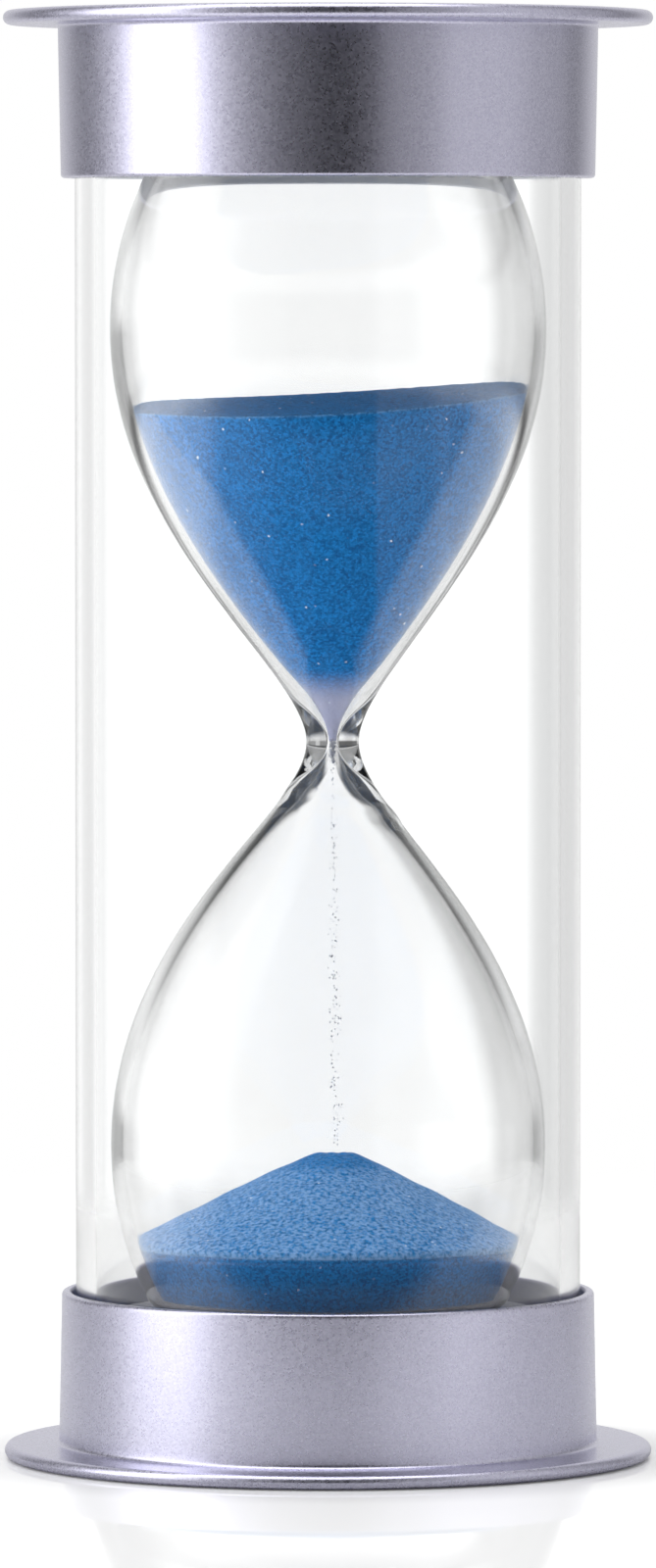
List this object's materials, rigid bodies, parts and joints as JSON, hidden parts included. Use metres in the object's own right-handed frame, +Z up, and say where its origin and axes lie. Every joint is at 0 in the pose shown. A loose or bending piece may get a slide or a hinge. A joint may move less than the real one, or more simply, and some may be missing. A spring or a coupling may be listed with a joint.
{
  "type": "hourglass",
  "caption": "Sand timer: a waisted glass bulb of blue sand inside a clear tube, with a silver flanged cap on each end that it can stand on.",
  "frame": {"origin": "middle of the underside of the bottom cap, which is where the timer stands", "axes": "+Z up along the axis that everything is turned about; -Y is the side the picture was taken from, so +X is to its right"},
  "size_m": [0.0716, 0.0716, 0.16],
  "materials": {
    "cap": "moulded plastic sprayed with fine silver metallic paint, satin",
    "tube": "clear acrylic tube, polished",
    "bulb": "clear lamp-blown glass, slightly uneven",
    "plug": "translucent white silicone",
    "sand": "fine dyed blue sand with a few bright grains, matte",
    "pad": "closed-cell foam, matte",
    "adhesive": "clear set adhesive, slightly yellow"
  },
  "bodies": {
    "root": {"bottom_cap": "cap", "top_cap": "cap", "outer_tube": "tube", "glass_bulb": "bulb", "fill_plug": "plug", "upper_sand": "sand", "lower_sand": "sand", "sand_stream": "sand", "bottom_pad": "pad", "top_pad": "pad", "bottom_glue_ring": "adhesive", "top_glue_ring": "adhesive"}
  },
  "joints": []
}
